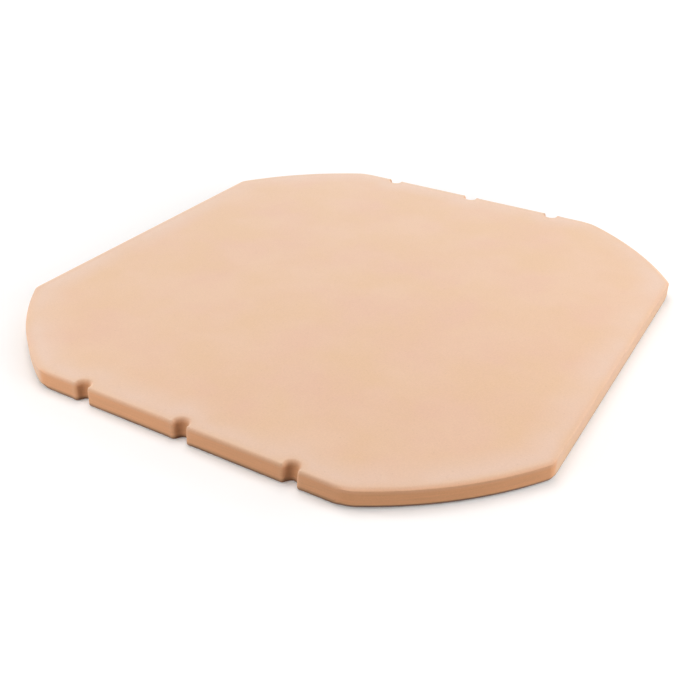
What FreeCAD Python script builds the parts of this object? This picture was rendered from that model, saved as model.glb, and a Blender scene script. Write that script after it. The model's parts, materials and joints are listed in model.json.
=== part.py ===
import FreeCAD
import Part
import math
import os

# Pizza stone: one pressed and fired ceramic slab, with no other piece to it.
# Millimetres, +Z up. The origin is the centre of the underside, X runs along the two notched sides,
# and -Y is the front. The plan is a rectangle whose four corners are cut off by crowned arcs.

# Slab
SLAB_WIDTH = 363.0  # between the two plain sides, along X
SLAB_DEPTH = 380.0  # between the two notched sides, along Y
SLAB_THICKNESS = 12.0
PLAIN_SIDE_LENGTH = 234.0  # straight run of a plain side, before its ends are rounded
NOTCHED_SIDE_LENGTH = 205.0  # straight run of a notched side, before its ends are rounded
CROWN_RADIUS = 216.0  # of the arc that cuts off each corner
CORNER_ROUNDING = 19.0  # where a straight side turns into a crowned corner

# Rims, which run round the whole outline and through the notches
TOP_RIM_RADIUS = 3.0
BOTTOM_RIM_RADIUS = 2.0

# Half-round locating notches, through the full thickness of the two notched sides
NOTCHES_PER_SIDE = 3
NOTCH_PITCH = 70.0
NOTCH_DEPTH = 6.0
NOTCH_RADIUS = 4.2
LIP_LAND_RADIUS = 0.4  # plan radius left at a notch's lip once the larger rim is rounded

HALF_WIDTH = SLAB_WIDTH / 2
HALF_DEPTH = SLAB_DEPTH / 2
LIP_RADIUS = LIP_LAND_RADIUS + max(TOP_RIM_RADIUS, BOTTOM_RIM_RADIUS)
CENTRE = FreeCAD.Vector(0, 0, 0)
Y_AXIS = FreeCAD.Vector(0, 1, 0)
Z_AXIS = FreeCAD.Vector(0, 0, 1)
HALF_TURN = 180


def plan(x, y):
    """A point of the outline, on the underside's plane."""
    return FreeCAD.Vector(x, y, 0)


def line(start, end):
    """A straight edge."""
    return Part.LineSegment(start, end).toShape()


def arc_through(start, middle, end):
    """An arc through three points."""
    return Part.Arc(start, middle, end).toShape()


def arc_about(centre, start, end):
    """The shorter arc about a centre, from one point to another."""
    toward_middle = (start - centre) + (end - centre)
    toward_middle.normalize()
    return arc_through(start, centre + toward_middle * (start - centre).Length, end)


def crown_centre():
    """Centre of the arc that cuts off the front right corner."""
    front_end = plan(NOTCHED_SIDE_LENGTH / 2, -HALF_DEPTH)
    side_end = plan(HALF_WIDTH, -PLAIN_SIDE_LENGTH / 2)
    half_chord = (side_end - front_end) / 2
    inward = Z_AXIS.cross(half_chord)
    inward.normalize()
    return front_end + half_chord + inward * math.sqrt(CROWN_RADIUS**2 - half_chord.Length**2)


def corner_points():
    """The front right corner: the centres of its three arcs and the points where they meet."""
    crown = crown_centre()
    inner_radius = CROWN_RADIUS - CORNER_ROUNDING
    front_y = CORNER_ROUNDING - HALF_DEPTH
    front_x = crown.x + math.sqrt(inner_radius**2 - (front_y - crown.y) ** 2)
    side_x = HALF_WIDTH - CORNER_ROUNDING
    side_y = crown.y - math.sqrt(inner_radius**2 - (side_x - crown.x) ** 2)
    crown_share = CROWN_RADIUS / inner_radius
    return {
        "crown": crown,
        "front_rounding": plan(front_x, front_y),
        "side_rounding": plan(side_x, side_y),
        "leaves_front": plan(front_x, -HALF_DEPTH),
        "joins_crown": crown + (plan(front_x, front_y) - crown) * crown_share,
        "leaves_crown": crown + (plan(side_x, side_y) - crown) * crown_share,
        "joins_side": plan(HALF_WIDTH, side_y),
    }


def corner_edges(corner):
    """The front right corner: its crowned arc between two roundings."""
    return [
        arc_about(corner["front_rounding"], corner["leaves_front"], corner["joins_crown"]),
        arc_about(corner["crown"], corner["joins_crown"], corner["leaves_crown"]),
        arc_about(corner["side_rounding"], corner["leaves_crown"], corner["joins_side"]),
    ]


def notch_shape():
    """Half the mouth's width, the straight wall's length, and how far each lip leans into the notch.

    A deep notch has straight walls between its lips and its half-round bottom. In a shallow one
    the lips run straight into the bottom, and the mouth is a little narrower for it.
    """
    reach = NOTCH_RADIUS + LIP_RADIUS
    wall = NOTCH_DEPTH - reach
    lean = math.asin(max(-wall, 0) / reach)
    return reach * math.cos(lean), max(wall, 0), lean


def notch_edges(x):
    """One notch in the front side: a rounded lip at each side of a half-round bottom."""
    half_mouth, wall, lean = notch_shape()
    edges = []
    bottom_ends = []
    for side in (-1, 1):
        mouth = plan(x + side * half_mouth, -HALF_DEPTH)
        lip_centre = mouth + Y_AXIS * LIP_RADIUS
        lip_end = lip_centre + plan(-side * math.cos(lean), -math.sin(lean)) * LIP_RADIUS
        bottom_end = lip_end + Y_AXIS * wall
        edges.append(arc_about(lip_centre, mouth, lip_end))
        if wall > 0:
            edges.append(line(lip_end, bottom_end))
        bottom_ends.append(bottom_end)
    edges.append(arc_through(bottom_ends[0], plan(x, NOTCH_DEPTH - HALF_DEPTH), bottom_ends[1]))
    return edges


def notch_places(straight_end):
    """Where the notches of one side are centred: those of the even row that fit on its straight run."""
    half_mouth = notch_shape()[0]
    middle = (NOTCHES_PER_SIDE - 1) / 2
    row = [(index - middle) * NOTCH_PITCH for index in range(NOTCHES_PER_SIDE)]
    return [x for x in row if abs(x) + half_mouth < straight_end]


def front_side_edges(straight_end):
    """The front side from corner to corner, with its notches."""
    half_mouth = notch_shape()[0]
    edges = []
    reached = -straight_end
    for x in notch_places(straight_end):
        edges.append(line(plan(reached, -HALF_DEPTH), plan(x - half_mouth, -HALF_DEPTH)))
        edges += notch_edges(x)
        reached = x + half_mouth
    edges.append(line(plan(reached, -HALF_DEPTH), plan(straight_end, -HALF_DEPTH)))
    return edges


def outline():
    """The closed outline: front side, right side and their corners, and the same again at half a turn."""
    corner = corner_points()
    side_end = corner["joins_side"]
    half = front_side_edges(corner["leaves_front"].x)
    half.append(line(side_end, plan(HALF_WIDTH, -side_end.y)))
    half += corner_edges(corner)
    half += [edge.mirror(CENTRE, Y_AXIS) for edge in corner_edges(corner)]
    other_half = [edge.copy() for edge in half]
    for edge in other_half:
        edge.rotate(CENTRE, Z_AXIS, HALF_TURN)
    return Part.Wire(Part.__sortEdges__(half + other_half))


def edges_at(solid, height):
    """The edges of a solid that lie wholly at one height."""
    near = Part.Precision.confusion()
    return [
        edge
        for edge in solid.Edges
        if all(math.isclose(vertex.Z, height, abs_tol=near) for vertex in edge.Vertexes)
    ]


def stone_slab():
    """The slab: its outline at full thickness, with the top and bottom rims rounded."""
    slab = Part.Face(outline()).extrude(Z_AXIS * SLAB_THICKNESS)
    slab = slab.makeFillet(TOP_RIM_RADIUS, edges_at(slab, SLAB_THICKNESS))
    return slab.makeFillet(BOTTOM_RIM_RADIUS, edges_at(slab, 0))


os.makedirs("parts", exist_ok=True)
stone_slab().exportStep("parts/stone_slab.step")
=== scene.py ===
"""Dresses the slab of a pizza stone: its mesh, its fired clay finish, a plain studio and the camera."""

import json
import logging
import math
from dataclasses import astuple, dataclass, field, fields
from enum import Enum
from typing import Any

import bpy
import numpy as np
from mathutils import Matrix, Vector, geometry, noise


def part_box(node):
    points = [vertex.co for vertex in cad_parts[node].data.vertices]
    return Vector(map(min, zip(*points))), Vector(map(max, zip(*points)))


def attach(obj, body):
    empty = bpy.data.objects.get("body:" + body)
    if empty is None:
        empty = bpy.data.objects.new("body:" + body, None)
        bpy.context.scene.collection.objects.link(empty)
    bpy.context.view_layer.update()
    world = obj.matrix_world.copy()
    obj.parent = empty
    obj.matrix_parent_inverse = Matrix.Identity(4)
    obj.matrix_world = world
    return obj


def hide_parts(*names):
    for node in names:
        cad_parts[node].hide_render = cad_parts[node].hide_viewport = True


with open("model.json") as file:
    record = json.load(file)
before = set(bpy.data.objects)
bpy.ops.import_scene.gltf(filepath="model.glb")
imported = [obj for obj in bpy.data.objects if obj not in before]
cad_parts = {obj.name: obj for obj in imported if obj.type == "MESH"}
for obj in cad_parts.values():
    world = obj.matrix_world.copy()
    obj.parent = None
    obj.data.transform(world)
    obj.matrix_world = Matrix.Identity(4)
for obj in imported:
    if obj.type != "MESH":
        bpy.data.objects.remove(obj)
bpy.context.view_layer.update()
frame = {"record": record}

LOG = logging.getLogger("pizza_stone")

MM = 0.001
SLAB_NODE = "stone_slab"
NOTCH_MOUNT = "_notch"
BODY = "root"
WHITE = (1.0, 1.0, 1.0, 1.0)

# Layers of the slab's mesh, which tell its finish where the walls' painted shade, the painted dark shade
# of the foot and notches, and the face's pale band, partly wear and partly painted light, go.
WALL_LAYER = "wall"
FOOT_SHADE_LAYER = "foot"
WEAR_AND_LIGHT_LAYER = "worn"

# Sockets of the Mix node when it mixes colours.
MIX_A = 6
MIX_B = 7
MIX_RESULT = 2

# A noise texture's values seldom leave this span.
NOISE_LOW = 0.3
NOISE_HIGH = 0.7

# A noise is 0 at each point of its grid, so it is read halfway between two levels of the grid.
NOISE_LEVEL = 0.5

# The triangulation keeps what is inside the border, and takes points this near as one.
INSIDE_ONLY = 1
SAME_POINT_MM = 1e-6

Plan = tuple[float, float]
Span = tuple[float, float]
Colour = tuple[float, float, float, float]


class Edge(Enum):
    """The kinds of edge round the slab, each with a rim of its own."""

    PLAIN = "plain"
    CROWNED = "crowned"
    NOTCHED = "notched"
    NOTCH = "notch"
    LIP = "lip"


def linear(code: str) -> Colour:
    """Turns an sRGB hex colour into the linear one that a shader takes.

    Args:
        code: The colour, such as "#ecc8ae".

    Returns:
        Linear red, green, blue and a full alpha.
    """
    parts = [int(code[at : at + 2], 16) / 255 for at in (1, 3, 5)]
    red, green, blue = (
        part / 12.92 if part <= 0.04045 else ((part + 0.055) / 1.055) ** 2.4 for part in parts
    )
    return red, green, blue, 1.0


def per_metre(size_mm: float) -> float:
    """A texture's scale, in object space, for a feature of that size."""
    return 1 / (size_mm * MM)


def toward(azimuth: float, elevation: float) -> Vector:
    """The direction at an azimuth, in degrees clockwise from +Y, and an elevation."""
    turn, rise = math.radians(azimuth), math.radians(elevation)
    return Vector((math.sin(turn) * math.cos(rise), math.cos(turn) * math.cos(rise), math.sin(rise)))


def add_node(
    tree: bpy.types.NodeTree, kind: str, inputs: dict[str | int, Any] | None = None, **settings: Any
) -> bpy.types.Node:
    """Adds a shader node with its settings and links.

    Args:
        tree: The node tree that takes the node.
        kind: The node's type, such as "ShaderNodeTexNoise".
        inputs: Socket name or number to a value, or to the output that feeds it.
        settings: The node's own properties.

    Returns:
        The new node.
    """
    node = tree.nodes.new(kind)
    for name, value in settings.items():
        setattr(node, name, value)
    for socket, value in (inputs or {}).items():
        if isinstance(value, bpy.types.NodeSocket):
            tree.links.new(value, node.inputs[socket])
        else:
            node.inputs[socket].default_value = value
    return node


def looked_at(tree: bpy.types.NodeTree) -> bpy.types.NodeSocket:
    """Tells what is looked at, straight or by reflection, from what only passes light on.

    Args:
        tree: The nodes that ask.

    Returns:
        1 for a ray that looks, and 0 for one that gathers light.
    """
    rays = add_node(tree, "ShaderNodeLightPath")
    looks = rays.outputs["Is Camera Ray"]
    for kind in ("Is Glossy Ray", "Is Transmission Ray"):
        sockets = {0: looks, 1: rays.outputs[kind]}
        looks = add_node(tree, "ShaderNodeMath", sockets, operation="MAXIMUM").outputs["Value"]
    return looks


def new_object(name: str, data: Any) -> bpy.types.Object:
    """Puts something in the scene.

    Args:
        name: What to call it.
        data: Its mesh, lamp or camera.

    Returns:
        The new object.
    """
    made = bpy.data.objects.new(name, data)
    bpy.context.scene.collection.objects.link(made)
    return made


@dataclass(frozen=True)
class Rim:
    """How the top turns down into a wall.

    The turn starts its width in from the wall and ends its drop under the top. It leaves the top
    level. A crease of 0 runs on into the wall, and a larger one meets it at a sharper angle. The
    last four values belong to the wall under it: the share of the walls' deeper tan, painted shade,
    that it takes, the size of its rounded foot as a share of the full one, how far its bottom stands
    out in front of its top, and the share of the foot's painted dark shade that it takes higher up.
    """

    width: float
    drop: float
    crease: float
    scraped: float = 1.0
    foot: float = 1.0
    draft: float = 0.0
    dark_shade: float = 0.0


RIM_FIELDS = [part.name for part in fields(Rim)]


@dataclass(frozen=True)
class Ring:
    """One ring of the edge's section, with a value for each point of the outline.

    It has the inset and the height there, the share of the walls' deeper tan, which is painted shade,
    and the share of painted dark shade.
    """

    inset: np.ndarray
    height: np.ndarray
    wall_tan_share: np.ndarray
    dark_shade: np.ndarray


@dataclass(frozen=True)
class Arc:
    """A round stretch of the outline. A hollow one curves into the slab, as a notch does."""

    centre: Plan
    radius: float
    start: float
    end: float
    edge: Edge
    hollow: bool = False

    def sample(self, step: float, least: int) -> tuple[np.ndarray, np.ndarray]:
        """Points along the arc, without its last one.

        Args:
            step: The widest spacing of the points.
            least: The fewest points.

        Returns:
            The points and the outward normal at each.
        """
        count = max(least, math.ceil(abs(self.end - self.start) * self.radius / step))
        angles = np.linspace(self.start, self.end, count, endpoint=False)
        spokes = np.column_stack([np.cos(angles), np.sin(angles)])
        return np.array(self.centre) + self.radius * spokes, -spokes if self.hollow else spokes


@dataclass(frozen=True)
class Straight:
    """A straight stretch of the outline, with the slab on its left."""

    start: Plan
    end: Plan
    edge: Edge

    def sample(self, step: float, least: int) -> tuple[np.ndarray, np.ndarray]:
        """Points along the line, without its last one.

        Args:
            step: The widest spacing of the points.
            least: The fewest points.

        Returns:
            The points and the outward normal at each.
        """
        along = np.subtract(self.end, self.start)
        length = float(np.hypot(*along))
        count = max(least, math.ceil(length / step))
        shares = np.linspace(0, 1, count, endpoint=False)[:, None]
        normal = np.array([along[1], -along[0]]) / length
        return np.array(self.start) + shares * along, np.tile(normal, (count, 1))


@dataclass(frozen=True)
class FiredCordierite:
    """Cordierite, pressed dry and fired once, left unglazed.

    The pressed faces are pale and dry, with a faint rosy and straw-coloured mottle, and palest in a
    band a little way in from the rim, drawn as wear and partly painted light that lifts the rim's slope
    and the face near the edge. The walls show a deeper, warmer tan in faint level streaks, which is
    painted shade for walls turned from the lamps, least on the two plain sides and at the left end,
    which the lamps light brightly. The foot takes a painted dark shade for the line where the slab meets
    the floor, and so, more faintly, do the hollows of the notches. It has no shine: light scatters in
    open pores, so it looks flat and powdery.
    """

    face: str = "#e7c1a2"
    rosy: str = "#e5bb9f"
    straw: str = "#e5be98"
    # The pale band along the rim is partly wear and partly painted light, which lifts the rim's slope
    # and the face near the edge.
    worn: str = "#e7c6af"
    # The walls' deeper, warmer tan is painted shade, for walls turned away from the lamps.
    wall: str = "#e8aa78"
    # The foot's colour is painted shade, for the dark line where the slab meets the floor; the notches'
    # hollows take a little of it.
    foot: str = "#4e260d"
    grog: str = "#cfa98c"
    ior: float = 1.54
    gloss: float = 0.5
    roughness: float = 0.86
    roughness_swing: float = 0.07
    diffuse_roughness: float = 0.6
    powder: float = 0.2
    powder_roughness: float = 0.5
    # One broad noise mottles the faces, makes their pale band patchy and makes the painted shade on the
    # foot patchy.
    mottle_mm: float = 46.0
    mottle_span: Span = (0.42, 0.65)
    mottle_share: float = 0.8
    wear_and_light_span: Span = (0.35, 0.6)
    wear_and_light_shares: Span = (0.4, 1.0)
    shade_patch_span: Span = (0.3, 0.6)
    shade_patch_shares: Span = (0.65, 0.95)
    streak_mm: float = 30.0
    streak_thin_mm: float = 1.4
    streak_values: Span = (0.94, 1.05)
    # Real grit is 0.1 to 0.3 mm, too fine to show here, so it is drawn about four times as coarse.
    grit_mm: float = 0.9
    grit_values: Span = (0.97, 1.03)
    relief_mm: float = 0.05
    relief_share: float = 0.6
    # Grains of older fired clay: their spacing, and in shares of it where a grain fades and ends.
    grog_mm: float = 5.5
    grog_shares: Span = (0.05, 0.1)
    grog_strength: float = 0.3

    def material(self) -> bpy.types.Material:
        """Builds the finish.

        Returns:
            The material, named for what it is and how it was made.
        """
        made = bpy.data.materials.new("cordierite_pressed_and_fired")
        made.use_nodes = True
        tree = made.node_tree
        tree.nodes.clear()
        place = add_node(tree, "ShaderNodeTexCoord").outputs["Object"]
        grit = add_node(
            tree,
            "ShaderNodeTexNoise",
            {"Vector": place, "Scale": per_metre(self.grit_mm), "Detail": 3.0, "Roughness": 0.6},
        ).outputs["Fac"]
        matt = add_node(
            tree,
            "ShaderNodeMapRange",
            {
                "Value": grit,
                "From Min": NOISE_LOW,
                "From Max": NOISE_HIGH,
                "To Min": self.roughness + self.roughness_swing,
                "To Max": self.roughness - self.roughness_swing,
            },
        )
        raised = add_node(
            tree,
            "ShaderNodeBump",
            {"Height": grit, "Strength": self.relief_share, "Distance": self.relief_mm * MM},
        )
        shader = add_node(
            tree,
            "ShaderNodeBsdfPrincipled",
            {
                "Base Color": self.grained(tree, place, self.body_colour(tree, place), grit),
                "Roughness": matt.outputs["Result"],
                "Diffuse Roughness": self.diffuse_roughness,
                "IOR": self.ior,
                "Specular IOR Level": self.gloss,
                "Sheen Weight": self.powder,
                "Sheen Roughness": self.powder_roughness,
                "Normal": raised.outputs["Normal"],
            },
        )
        add_node(tree, "ShaderNodeOutputMaterial", {"Surface": shader.outputs["BSDF"]})
        return made

    def body_colour(self, tree: bpy.types.NodeTree, place: bpy.types.NodeSocket) -> bpy.types.NodeSocket:
        """Runs the faces' colour into the walls' deeper tan, which is painted shade, and paints a dark
        shade on the foot and in the notches.

        Args:
            tree: The material's nodes.
            place: Where the point is on the slab.

        Returns:
            The colour of the clay body.
        """
        broad = add_node(
            tree,
            "ShaderNodeTexNoise",
            {"Vector": place, "Scale": per_metre(self.mottle_mm), "Detail": 4.0, "Roughness": 0.55},
        )
        face = self.face_colour(tree, broad.outputs["Color"])
        side = self.wall_colour(tree, place)
        wall = add_node(tree, "ShaderNodeAttribute", attribute_name=WALL_LAYER)
        body = add_node(
            tree,
            "ShaderNodeMix",
            {0: wall.outputs["Fac"], MIX_A: face, MIX_B: side},
            data_type="RGBA",
        ).outputs[MIX_RESULT]
        # The foot layer carries painted shade, dark on the foot and fainter in the notches' hollows.
        foot = add_node(tree, "ShaderNodeAttribute", attribute_name=FOOT_SHADE_LAYER)
        shade_patches = add_node(
            tree,
            "ShaderNodeMapRange",
            {
                "Value": broad.outputs["Fac"],
                "From Min": self.shade_patch_span[0],
                "From Max": self.shade_patch_span[1],
                "To Min": self.shade_patch_shares[0],
                "To Max": self.shade_patch_shares[1],
            },
        )
        dark_shade = add_node(
            tree,
            "ShaderNodeMath",
            {0: foot.outputs["Fac"], 1: shade_patches.outputs["Result"]},
            operation="MULTIPLY",
        )
        return add_node(
            tree,
            "ShaderNodeMix",
            {0: dark_shade.outputs["Value"], MIX_A: body, MIX_B: linear(self.foot)},
            data_type="RGBA",
        ).outputs[MIX_RESULT]

    def face_colour(self, tree: bpy.types.NodeTree, broad: bpy.types.NodeSocket) -> bpy.types.NodeSocket:
        """Mottles the pressed faces and pales them in a band along the rim, drawn as wear and partly
        painted light.

        Args:
            tree: The material's nodes.
            broad: Three broad noises, one in each channel.

        Returns:
            The faces' colour.
        """
        drift = add_node(tree, "ShaderNodeSeparateColor", {"Color": broad})
        face: Colour | bpy.types.NodeSocket = linear(self.face)
        for channel, tint in (("Red", self.rosy), ("Green", self.straw)):
            share = add_node(
                tree,
                "ShaderNodeMapRange",
                {
                    "Value": drift.outputs[channel],
                    "From Min": self.mottle_span[0],
                    "From Max": self.mottle_span[1],
                    "To Max": self.mottle_share,
                },
            )
            face = add_node(
                tree,
                "ShaderNodeMix",
                {0: share.outputs["Result"], MIX_A: face, MIX_B: linear(tint)},
                data_type="RGBA",
            ).outputs[MIX_RESULT]
        wear_and_light_node = add_node(tree, "ShaderNodeAttribute", attribute_name=WEAR_AND_LIGHT_LAYER)
        patchy = add_node(
            tree,
            "ShaderNodeMapRange",
            {
                "Value": drift.outputs["Blue"],
                "From Min": self.wear_and_light_span[0],
                "From Max": self.wear_and_light_span[1],
                "To Min": self.wear_and_light_shares[0],
                "To Max": self.wear_and_light_shares[1],
            },
        )
        wear_and_light = add_node(
            tree,
            "ShaderNodeMath",
            {0: wear_and_light_node.outputs["Fac"], 1: patchy.outputs["Result"]},
            operation="MULTIPLY",
        )
        return add_node(
            tree,
            "ShaderNodeMix",
            {0: wear_and_light.outputs["Value"], MIX_A: face, MIX_B: linear(self.worn)},
            data_type="RGBA",
        ).outputs[MIX_RESULT]

    def wall_colour(self, tree: bpy.types.NodeTree, place: bpy.types.NodeSocket) -> bpy.types.NodeSocket:
        """Streaks the walls' deeper tan, which is painted shade.

        Args:
            tree: The material's nodes.
            place: Where the point is on the slab.

        Returns:
            The walls' colour.
        """
        along, thin = per_metre(self.streak_mm), per_metre(self.streak_thin_mm)
        level = add_node(tree, "ShaderNodeMapping", {"Vector": place, "Scale": (along, along, thin)})
        streak = add_node(
            tree,
            "ShaderNodeTexNoise",
            {"Vector": level.outputs["Vector"], "Scale": 1.0, "Detail": 3.0, "Roughness": 0.6},
        )
        value = add_node(
            tree,
            "ShaderNodeMapRange",
            {
                "Value": streak.outputs["Fac"],
                "From Min": NOISE_LOW,
                "From Max": NOISE_HIGH,
                "To Min": self.streak_values[0],
                "To Max": self.streak_values[1],
            },
        )
        return add_node(
            tree,
            "ShaderNodeHueSaturation",
            {"Color": linear(self.wall), "Value": value.outputs["Result"]},
        ).outputs["Color"]

    def grained(
        self,
        tree: bpy.types.NodeTree,
        place: bpy.types.NodeSocket,
        colour: bpy.types.NodeSocket,
        grit: bpy.types.NodeSocket,
    ) -> bpy.types.NodeSocket:
        """Adds the grit and a few slightly darker grog grains.

        Args:
            tree: The material's nodes.
            place: Where the point is on the slab.
            colour: The clay body's colour.
            grit: The fine grain's value.

        Returns:
            The grained colour.
        """
        value = add_node(
            tree,
            "ShaderNodeMapRange",
            {
                "Value": grit,
                "From Min": NOISE_LOW,
                "From Max": NOISE_HIGH,
                "To Min": self.grit_values[0],
                "To Max": self.grit_values[1],
            },
        )
        gritty = add_node(
            tree, "ShaderNodeHueSaturation", {"Color": colour, "Value": value.outputs["Result"]}
        )
        cells = add_node(
            tree, "ShaderNodeTexVoronoi", {"Vector": place, "Scale": per_metre(self.grog_mm)}
        )
        grain = add_node(
            tree,
            "ShaderNodeMapRange",
            {
                "Value": cells.outputs["Distance"],
                "From Min": self.grog_shares[1],
                "From Max": self.grog_shares[0],
                "To Max": self.grog_strength,
            },
        )
        return add_node(
            tree,
            "ShaderNodeMix",
            {0: grain.outputs["Result"], MIX_A: gritty.outputs["Color"], MIX_B: linear(self.grog)},
            data_type="RGBA",
        ).outputs[MIX_RESULT]


@dataclass
class StoneSlab:
    """The slab, in millimetres: a plan with crowned corners and notched sides, and softened rims."""

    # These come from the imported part.
    width: float
    depth: float
    thickness: float
    notch_places: tuple[float, ...]
    notch_radius: float
    notch_depth: float
    # The plan. A crowned corner is rounded more where it meets a notched side than at a plain one.
    plain_side: float = 234.0
    notched_side: float = 205.0
    crown_radius: float = 216.0
    corner_rounding: float = 19.0
    side_rounding: float = 9.0
    lip_radius: float = 1.8
    # The rims, how far along the edge each runs into the next, and how far under its rim a wall ends.
    # Each wall takes a share of the walls' painted shade: the plain sides, which the lamps light
    # brightly, a quarter, and the lips and notched sides a little less than all.
    plain_rim: Rim = Rim(2.9, 0.85, 0.5, scraped=0.25, foot=0.5)
    crowned_rim: Rim = Rim(2.9, 0.85, 0.5, foot=1.4)
    notched_rim: Rim = Rim(1.7, 2.6, 0.12, scraped=0.93, foot=0.5)
    # The notches' hollows take a faint painted dark shade.
    notch_rim: Rim = Rim(2.2, 3.2, 0.3, foot=0.5, draft=1.6, dark_shade=0.28)
    lip_rim: Rim = Rim(0.9, 2.6, 0.3, scraped=0.8, foot=0.5, draft=0.2)
    rim_run: float = 1.8
    crease_softness: float = 0.2
    foot_width: float = 1.8
    foot_rise: float = 2.0
    # The foot's painted dark shade sets in just above the underside, and fades out higher up on a larger
    # foot.
    dark_shade_start: float = 0.3
    dark_shade_reach: float = 1.8
    dark_shade_growth: float = 0.7
    dark_shade_fade: float = 0.85
    # The face's pale band, partly wear and partly painted light, is at half at the rim, full a little
    # way in, and gone past its reach.
    rim_wear_and_light: float = 0.5
    wear_and_light_rise: float = 12.0
    wear_and_light_fade: float = 16.0
    wear_and_light_reach: float = 24.0
    # The face's pale tone runs down over the rim, further over a deeper one, before the walls' painted
    # shade takes over.
    face_tone_reach: float = 1.3
    face_tone_share: float = 0.6
    face_tone_power: float = 0.75
    # How finely the mesh is divided. The rings of a wall are closest together low down.
    edge_step: float = 2.4
    arc_points: int = 9
    rim_points: int = 9
    wall_points: int = 6
    wall_power: float = 1.5
    top_step: float = 2.4
    underside_step: float = 6.0
    # The kiln's slight warp, which eases in from the rim, and the waviness of the scraped walls.
    sag: float = 0.12
    sag_ease: float = 19.0
    sag_span: float = 75.0
    waviness: float = 0.07
    wave_span: float = 28.0
    finish: FiredCordierite = field(default_factory=FiredCordierite)

    @classmethod
    def from_frame(cls) -> "StoneSlab":
        """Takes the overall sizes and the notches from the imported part.

        Returns:
            The slab, not built yet.
        """
        low, high = (np.array(corner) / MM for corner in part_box(SLAB_NODE))
        mounts = frame["record"]["mounts"]
        notches = [
            mount for mount in mounts if mount["name"].endswith(NOTCH_MOUNT) and mount["axis"][1] > 0
        ]
        radius = notches[0]["dims"]["r_mm"]
        depth = float(high[1]) - notches[0]["pos_m"][1] / MM + radius
        places = tuple(sorted(notch["pos_m"][0] / MM for notch in notches))
        return cls(*(float(side) for side in high - low), places, radius, depth)

    def crown_centre(self) -> Plan:
        """Finds the middle of the arc that cuts off the back right corner.

        Returns:
            The arc's centre.
        """
        side_end = np.array([self.width / 2, self.plain_side / 2])
        back_end = np.array([self.notched_side / 2, self.depth / 2])
        half_chord = (back_end - side_end) / 2
        length = float(np.hypot(*half_chord))
        inward = np.array([-half_chord[1], half_chord[0]]) / length
        centre = side_end + half_chord + inward * math.sqrt(self.crown_radius**2 - length**2)
        return float(centre[0]), float(centre[1])

    def quarter(self) -> list[Arc | Straight]:
        """Lays out the outline's back right quarter.

        Returns:
            Its stretches, from the middle of the right side to the middle of the back.
        """
        half_width, half_depth = self.width / 2, self.depth / 2
        crown = self.crown_centre()
        side_x = half_width - self.side_rounding
        side_reach = self.crown_radius - self.side_rounding
        side_y = crown[1] + math.sqrt(side_reach**2 - (side_x - crown[0]) ** 2)
        back_y = half_depth - self.corner_rounding
        back_reach = self.crown_radius - self.corner_rounding
        back_x = crown[0] + math.sqrt(back_reach**2 - (back_y - crown[1]) ** 2)
        crown_start = math.atan2(side_y - crown[1], side_x - crown[0])
        crown_end = math.atan2(back_y - crown[1], back_x - crown[0])
        stretches: list[Arc | Straight] = [
            Straight((half_width, 0.0), (half_width, side_y), Edge.PLAIN),
            Arc((side_x, side_y), self.side_rounding, 0.0, crown_start, Edge.CROWNED),
            Arc(crown, self.crown_radius, crown_start, crown_end, Edge.CROWNED),
            Arc((back_x, back_y), self.corner_rounding, crown_end, math.pi / 2, Edge.CROWNED),
        ]
        reach = self.notch_radius + self.lip_radius
        lean = math.asin((reach - self.notch_depth) / reach)
        half_mouth = reach * math.cos(lean)
        lip_y = half_depth - self.lip_radius
        hollow_y = half_depth - self.notch_depth + self.notch_radius
        reached = back_x
        for x in sorted((place for place in self.notch_places if place > -half_mouth), reverse=True):
            hollow_end = lean - math.pi if x > half_mouth else -math.pi / 2
            stretches += [
                Straight((reached, half_depth), (x + half_mouth, half_depth), Edge.NOTCHED),
                Arc((x + half_mouth, lip_y), self.lip_radius, math.pi / 2, math.pi - lean, Edge.LIP),
                Arc((x, hollow_y), self.notch_radius, -lean, hollow_end, Edge.NOTCH, hollow=True),
            ]
            if x > half_mouth:
                lip = Arc((x - half_mouth, lip_y), self.lip_radius, lean, math.pi / 2, Edge.LIP)
                stretches.append(lip)
            reached = x - half_mouth
        return stretches

    def outline(self) -> tuple[np.ndarray, np.ndarray, np.ndarray]:
        """The whole outline, counter-clockwise from the middle of the right side.

        Returns:
            The points, the outward normal at each, and the values of the rim there.
        """
        kinds = {
            Edge.PLAIN: self.plain_rim,
            Edge.CROWNED: self.crowned_rim,
            Edge.NOTCHED: self.notched_rim,
            Edge.NOTCH: self.notch_rim,
            Edge.LIP: self.lip_rim,
        }
        rows = []
        for stretch in self.quarter():
            points, normals = stretch.sample(self.edge_step, self.arc_points)
            rim = np.tile(astuple(kinds[stretch.edge]), (len(points), 1))
            rows.append(np.hstack([points, normals, rim]))
        back_middle = (0.0, self.depth / 2 - self.notch_depth, 0.0, 1.0)
        rows.append(np.array([[*back_middle, *astuple(self.notch_rim)]]))
        table = np.vstack(rows)
        for across, along in ((-1, 1), (1, -1)):
            flip = np.array([across, along, across, along, *np.ones(len(RIM_FIELDS))])
            table = np.vstack([table, table[-2::-1] * flip])
        points, normals, rims = np.split(table[:-1], (2, 4), axis=1)
        # The left end takes as little of the walls' painted shade as the plain sides, as the lamps light
        # it as brightly.
        left = points[:, 0] < -self.notched_side / 2
        rims[left, RIM_FIELDS.index("scraped")] = self.plain_rim.scraped
        return points, normals, self.eased(points, rims)

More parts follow.
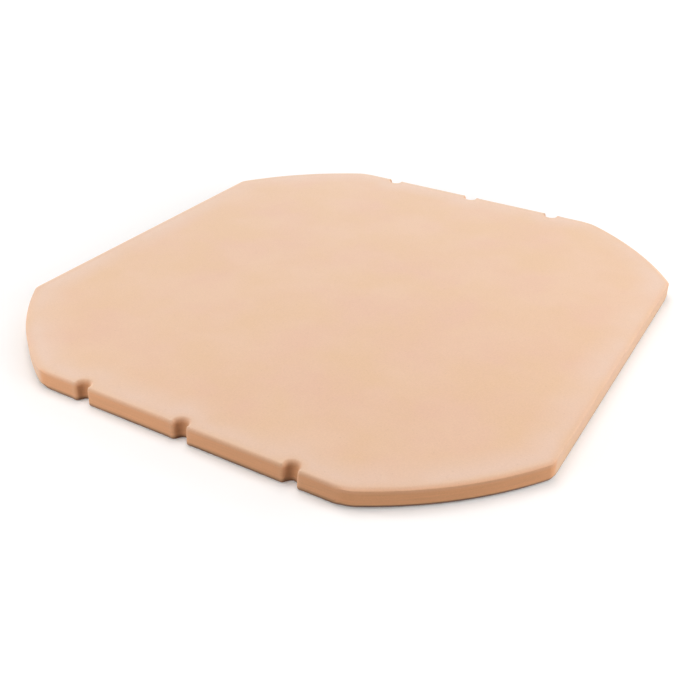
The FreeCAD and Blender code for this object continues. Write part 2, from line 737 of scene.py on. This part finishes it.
    def eased(self, points: np.ndarray, rims: np.ndarray) -> np.ndarray:
        """Runs each kind of rim gradually into the next.

        Args:
            points: The outline.
            rims: The rim at each point, changing abruptly.

        Returns:
            The rim at each point, eased over the run of the outline.
        """
        steps = np.hypot(*(np.roll(points, -1, axis=0) - points).T)
        runs = np.concatenate([[0.0], np.cumsum(steps)[:-1]])
        apart = np.abs(runs[:, None] - runs[None, :])
        apart = np.minimum(apart, steps.sum() - apart)
        weights = np.exp(-((apart / self.rim_run) ** 2)) * (steps + np.roll(steps, 1))
        return weights @ rims / weights.sum(axis=1, keepdims=True)

    def inset(self, x: np.ndarray, y: np.ndarray) -> np.ndarray:
        """Measures how far points of the plan lie in from the nearest edge.

        Args:
            x: Their places along the notched sides.
            y: Their places along the plain sides.

        Returns:
            Their insets, with the corners' roundings and the notches' lips left out.
        """
        crown = self.crown_centre()
        across, along = np.abs(x), np.abs(y)
        nearest = np.minimum(self.width / 2 - across, self.depth / 2 - along)
        nearest = np.minimum(nearest, self.crown_radius - np.hypot(across - crown[0], along - crown[1]))
        hollow_y = self.depth / 2 - self.notch_depth + self.notch_radius
        for place in self.notch_places:
            nearest = np.minimum(nearest, np.hypot(x - place, along - hollow_y) - self.notch_radius)
        return nearest

    def rings(self, rims: np.ndarray) -> list[Ring]:
        """The edge's section, ring by ring, from the underside to the top.

        Args:
            rims: The values of the rim at each point of the outline.

        Returns:
            The rings.
        """
        width, drop, crease, scraped, foot, draft, dark_shade = rims.T
        section = []
        for turn in np.linspace(-math.pi / 2, 0, self.rim_points):
            inset = foot * self.foot_width * (1 - math.cos(turn))
            height = foot * self.foot_rise * (1 + math.sin(turn))
            section.append((inset, height, scraped * math.cos(turn)))
        low, high = foot * self.foot_rise, self.thickness - drop - self.crease_softness
        for share in np.linspace(0, 1, self.wall_points)[1:] ** self.wall_power:
            height = low + (high - low) * share
            section.append((np.zeros(len(rims)), height, scraped * self.wall_tan_share(height, drop)))
        for turn in np.linspace(0, 1, self.rim_points):
            inset = width * (2 * crease * turn * (1 - turn) + turn**2)
            height = self.thickness - drop * (1 - turn) ** 2
            section.append((inset, height, scraped * self.wall_tan_share(height, drop)))
        rings = []
        for inset, height, wall_tan_share in section:
            leaning = inset + draft * (height / self.thickness - 1)
            # Painted dark shade: on the foot, and fainter up the notches' hollows.
            dark_shade_share = np.maximum(scraped * self.dark_shade_share(height, foot), dark_shade * wall_tan_share)
            rings.append(Ring(leaning, height, wall_tan_share, dark_shade_share))
        return rings

    def wall_tan_share(self, height: np.ndarray, drop: np.ndarray) -> np.ndarray:
        """The share of the walls' deeper tan, painted shade, that shows at a height, under a rim of that
        drop.
        """
        reach = self.face_tone_reach + self.face_tone_share * drop
        return np.clip((self.thickness - height) / reach, 0, 1) ** self.face_tone_power

    def dark_shade_share(self, height: np.ndarray, foot: np.ndarray) -> np.ndarray:
        """The share of painted dark shade on a foot of that size at a height."""
        fading = (self.dark_shade_reach + self.dark_shade_growth * foot - height) / self.dark_shade_fade
        return np.clip(np.minimum(fading, height / self.dark_shade_start), 0, 1)

    def wear_and_light(self, insets: np.ndarray) -> np.ndarray:
        """The share of the face's pale band at those insets from its edge, partly wear and partly
        painted light.
        """
        rising = self.rim_wear_and_light + insets / self.wear_and_light_rise
        return np.clip(np.minimum(rising, (self.wear_and_light_reach - insets) / self.wear_and_light_fade), 0, 1)

    def face_points(self, step: float) -> np.ndarray:
        """Spreads points over a face, clear of its rims.

        Args:
            step: Their spacing.

        Returns:
            An even triangular grid of points.
        """
        row_step = step * math.sqrt(3) / 2
        rows = np.arange(-self.depth / 2, self.depth / 2, row_step)
        columns = np.arange(-self.width / 2, self.width / 2, step)
        grid = np.array([(x + step / 2 * (row % 2), y) for row, y in enumerate(rows) for x in columns])
        room = max(self.crowned_rim.width, self.notch_rim.width) + step / 2
        return grid[self.inset(grid[:, 0], grid[:, 1]) > room]

    def fill(self, border: np.ndarray, inner: np.ndarray) -> list[list[int]]:
        """Triangulates a face between its border and the grid of points inside it.

        Args:
            border: The face's closed border.
            inner: The points inside it.

        Returns:
            Triangles, counter-clockwise, that number the border's points first and then the inner ones.
        """
        count = len(border)
        loop = [(index, (index + 1) % count) for index in range(count)]
        corners = [Vector(point) for point in np.vstack([border, inner])]
        made = geometry.delaunay_2d_cdt(corners, loop, [], INSIDE_ONLY, SAME_POINT_MM)
        faces, sources = made[2:4]
        return [[sources[corner][0] for corner in face] for face in faces]

    def sagged(self, x: float, y: float, inset: float) -> float:
        """How far a pressed face lies under its nominal height, from the kiln's slight warp.

        Args:
            x: The place along the notched sides.
            y: The place along the plain sides.
            inset: How far in from the edge that is. At the rim the face keeps its height.

        Returns:
            The drop.
        """
        warp = 0.5 + 0.5 * noise.noise(Vector((x / self.sag_span, y / self.sag_span, NOISE_LEVEL)))
        share = min(1.0, inset / self.sag_ease)
        return self.sag * warp * share * share * (3 - 2 * share)

    def placed(self, ring: Ring, points: np.ndarray, normals: np.ndarray) -> np.ndarray:
        """Places the points of one ring, with the waviness of a scraped wall.

        Args:
            ring: The ring.
            points: The outline.
            normals: The outward normal at each of its points.

        Returns:
            The ring's points in space.
        """
        spots = np.column_stack([points / self.wave_span, ring.height / self.thickness])
        waves = np.array([0.5 + 0.5 * noise.noise(Vector(spot)) for spot in spots])
        inset = ring.inset + self.waviness * ring.wall_tan_share * waves
        return np.column_stack([points - normals * inset[:, None], ring.height])

    def mesh(self) -> bpy.types.Mesh:
        """Builds the slab as one closed mesh.

        Returns:
            The mesh, in metres, with the layers that tell its walls, foot and worn face from the rest.
        """
        points, normals, rims = self.outline()
        rings = self.rings(rims)
        vertices = np.vstack([self.placed(ring, points, normals) for ring in rings])
        walls = np.concatenate([ring.wall_tan_share for ring in rings])
        dark_shades = np.concatenate([ring.dark_shade for ring in rings])
        # The rim and the upper wall take half the pale band, painted light on the rim's slope.
        worn = np.where(vertices[:, 2] > self.thickness / 2, self.rim_wear_and_light, 0.0)
        numbers = np.arange(len(vertices)).reshape(len(rings), len(points))
        faces = []
        for lower, upper in zip(numbers, numbers[1:]):
            quads = np.column_stack([lower, np.roll(lower, -1), np.roll(upper, -1), upper])
            faces += quads.tolist()
        for border, step, upward in (
            (numbers[0], self.underside_step, False),
            (numbers[-1], self.top_step, True),
        ):
            inner = self.face_points(step)
            insets = self.inset(inner[:, 0], inner[:, 1])
            drops = np.array([self.sagged(x, y, inset) for (x, y), inset in zip(inner, insets)])
            known = np.concatenate([border, len(vertices) + np.arange(len(inner))])
            for triangle in self.fill(vertices[border, :2], inner):
                corners = known[triangle].tolist()
                faces.append(corners if upward else corners[::-1])
            heights = self.thickness - drops if upward else drops
            vertices = np.vstack([vertices, np.column_stack([inner, heights])])
            walls = np.concatenate([walls, np.zeros(len(inner))])
            dark_shades = np.concatenate([dark_shades, np.zeros(len(inner))])
            worn = np.concatenate([worn, self.wear_and_light(insets) if upward else np.zeros(len(inner))])
        mesh = bpy.data.meshes.new("stone_slab_body")
        mesh.from_pydata((vertices * MM).tolist(), [], faces)
        for layer, shares in ((WALL_LAYER, walls), (FOOT_SHADE_LAYER, dark_shades), (WEAR_AND_LIGHT_LAYER, worn)):
            mesh.attributes.new(layer, "FLOAT", "POINT").data.foreach_set("value", shares)
        mesh.shade_smooth()
        mesh.validate()
        return mesh

    def build(self) -> bpy.types.Object:
        """Builds and dresses the slab in place of its plain solid.

        Returns:
            The dressed slab.
        """
        body = new_object("stone_slab_fired", self.mesh())
        body.data.materials.append(self.finish.material())
        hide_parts(SLAB_NODE)
        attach(body, BODY)
        return body


@dataclass(frozen=True)
class Softbox:
    """A softbox turned to the slab's middle. Its strength is the light on a sheet there that faces it.

    At a strength of 1 a white sheet just reaches white.
    """

    name: str
    azimuth: float
    elevation: float
    strength: float
    height_m: float
    width_m: float
    distance_m: float

    def build(self) -> bpy.types.Object:
        """Sets up the lamp.

        Returns:
            The lamp.
        """
        lamp = bpy.data.lights.new(self.name, "AREA")
        lamp.shape = "RECTANGLE"
        lamp.size, lamp.size_y = self.width_m, self.height_m
        lamp.energy = self.strength * (math.pi * self.distance_m) ** 2
        made = new_object(self.name, lamp)
        made.location = toward(self.azimuth, self.elevation) * self.distance_m
        made.rotation_euler = made.location.to_track_quat("Z", "Y").to_euler()
        return made


@dataclass(frozen=True)
class MattPaper:
    """White paper from a studio's roll, left matt.

    It looks white and takes a shadow, but passes on only the light of a grey sheet, so the slab's
    walls keep their shade. A faint glow lifts its shadow. The glow is warm, because the clay's colour
    spills on to the paper, and turns plain white away from the slab, where no shadow falls.
    """

    white: str = "#fafafa"
    passed_on: str = "#606060"
    spill: str = "#ffeee2"
    glow: float = 0.1
    shadow_reach_m: float = 0.32
    white_from_m: float = 0.6

    def material(self) -> bpy.types.Material:
        """Builds the finish.

        Returns:
            The material, named for what it is and how it looks.
        """
        made = bpy.data.materials.new("paper_matt_white")
        made.use_nodes = True
        tree = made.node_tree
        tree.nodes.clear()
        seen = looked_at(tree)
        colour = add_node(
            tree,
            "ShaderNodeMix",
            {0: seen, MIX_A: linear(self.passed_on), MIX_B: linear(self.white)},
            data_type="RGBA",
        ).outputs[MIX_RESULT]
        place = add_node(tree, "ShaderNodeTexCoord").outputs["Object"]
        reach = add_node(tree, "ShaderNodeVectorMath", {0: place}, operation="LENGTH").outputs["Value"]
        away = add_node(
            tree,
            "ShaderNodeMapRange",
            {"Value": reach, "From Min": self.shadow_reach_m, "From Max": self.white_from_m},
        ).outputs["Result"]
        near_glow = tuple(self.glow * share for share in linear(self.spill)[:3]) + (1.0,)
        glow_colour = add_node(
            tree, "ShaderNodeMix", {0: away, MIX_A: near_glow, MIX_B: WHITE}, data_type="RGBA"
        ).outputs[MIX_RESULT]
        paper = add_node(tree, "ShaderNodeBsdfDiffuse", {"Color": colour}).outputs["BSDF"]
        glow = add_node(tree, "ShaderNodeEmission", {"Color": glow_colour, "Strength": seen})
        both = add_node(tree, "ShaderNodeAddShader", {0: paper, 1: glow.outputs["Emission"]})
        add_node(tree, "ShaderNodeOutputMaterial", {"Surface": both.outputs["Shader"]})
        return made


@dataclass
class Studio:
    """A paper floor among low softboxes, with two higher ones at the right and one almost overhead."""

    paper: MattPaper = field(default_factory=MattPaper)
    floor_size_m: float = 12.0
    floor_gap_mm: float = 0.2
    sky: float = 0.1
    # Each has its azimuth, elevation and strength, and then its height, width and distance.
    lamps: tuple[Softbox, ...] = (
        Softbox("front_lamp", 200.0, 12.0, 0.36, 0.24, 0.24, 0.7),
        Softbox("left_lamp", 245.0, 12.0, 0.3, 0.24, 0.4, 1.2),
        Softbox("low_right_lamp", 105.0, 10.0, 0.21, 0.22, 0.22, 1.0),
        Softbox("front_right_lamp", 150.0, 38.0, 0.05, 0.45, 0.45, 0.7),
        Softbox("right_lamp", 90.0, 38.0, 0.31, 0.45, 0.45, 0.7),
        Softbox("back_right_lamp", 60.0, 12.0, 0.42, 0.5, 0.9, 1.3),
        Softbox("back_lamp", 330.0, 12.0, 0.63, 0.5, 0.9, 1.3),
        Softbox("top_lamp", 300.0, 75.0, 0.45, 0.9, 0.9, 1.3),
    )

    def floor(self) -> bpy.types.Object:
        """Lays the paper under the slab.

        Returns:
            The floor.
        """
        half = self.floor_size_m / 2
        level = -self.floor_gap_mm * MM
        corners = [(x * half, y * half, level) for x, y in ((-1, -1), (1, -1), (1, 1), (-1, 1))]
        mesh = bpy.data.meshes.new("floor_paper")
        mesh.from_pydata(corners, [], [(0, 1, 2, 3)])
        mesh.materials.append(self.paper.material())
        made = new_object("floor", mesh)
        return made

    def surroundings(self) -> bpy.types.World:
        """Makes it white where the camera looks past the floor, and an even sky for everything else.

        Returns:
            The scene's world.
        """
        world = bpy.data.worlds.new("studio")
        world.use_nodes = True
        tree = world.node_tree
        tree.nodes.clear()
        sky = add_node(tree, "ShaderNodeBackground", {"Color": WHITE, "Strength": self.sky})
        white = add_node(tree, "ShaderNodeBackground", {"Color": WHITE, "Strength": 1.0})
        mixed = add_node(
            tree,
            "ShaderNodeMixShader",
            {0: looked_at(tree), 1: sky.outputs["Background"], 2: white.outputs["Background"]},
        )
        add_node(tree, "ShaderNodeOutputWorld", {"Surface": mixed.outputs["Shader"]})
        bpy.context.scene.world = world
        return world

    def build(self) -> None:
        """Sets up the whole studio."""
        self.floor()
        self.surroundings()
        for lamp in self.lamps:
            lamp.build()
        bpy.context.scene.view_settings.view_transform = "Standard"


@dataclass
class Viewpoint:
    """The camera, at the photograph's viewing angle and framing."""

    target_mm: tuple[float, float, float] = (28.97, -59.81, 0.0)
    distance_mm: float = 575.03
    azimuth: float = 150.266
    elevation: float = 31.193
    roll: float = 1.107
    focal_px: float = 919.15
    image_px: float = 700.0
    sensor_mm: float = 36.0

    def build(self) -> bpy.types.Object:
        """Places the camera and makes it the scene's own.

        Returns:
            The camera.
        """
        back = toward(self.azimuth, self.elevation)
        level = Vector((-back.y, back.x, 0.0)).normalized()
        upright = back.cross(level)
        roll = math.radians(self.roll)
        right = math.cos(roll) * level + math.sin(roll) * upright
        up = math.cos(roll) * upright - math.sin(roll) * level
        eye = (Vector(self.target_mm) + back * self.distance_mm) * MM
        lens = bpy.data.cameras.new("camera")
        lens.sensor_width = self.sensor_mm
        lens.lens = self.sensor_mm * self.focal_px / self.image_px
        made = new_object("camera", lens)
        made.matrix_world = Matrix.Translation(eye) @ Matrix((right, up, back)).transposed().to_4x4()
        bpy.context.scene.camera = made
        return made


def main() -> None:
    """Builds the slab, the studio and the camera, and logs each."""
    logging.basicConfig(level=logging.INFO, format="%(name)s: %(message)s")
    slab = StoneSlab.from_frame().build()
    LOG.info("%s: %d vertices, %d faces", slab.name, len(slab.data.vertices), len(slab.data.polygons))
    studio = Studio()
    studio.build()
    LOG.info("studio: floor and %d lamps", len(studio.lamps))
    camera = Viewpoint().build()
    LOG.info("%s: lens of %.1f mm", camera.name, camera.data.lens)


if __name__ == "__main__":
    main()
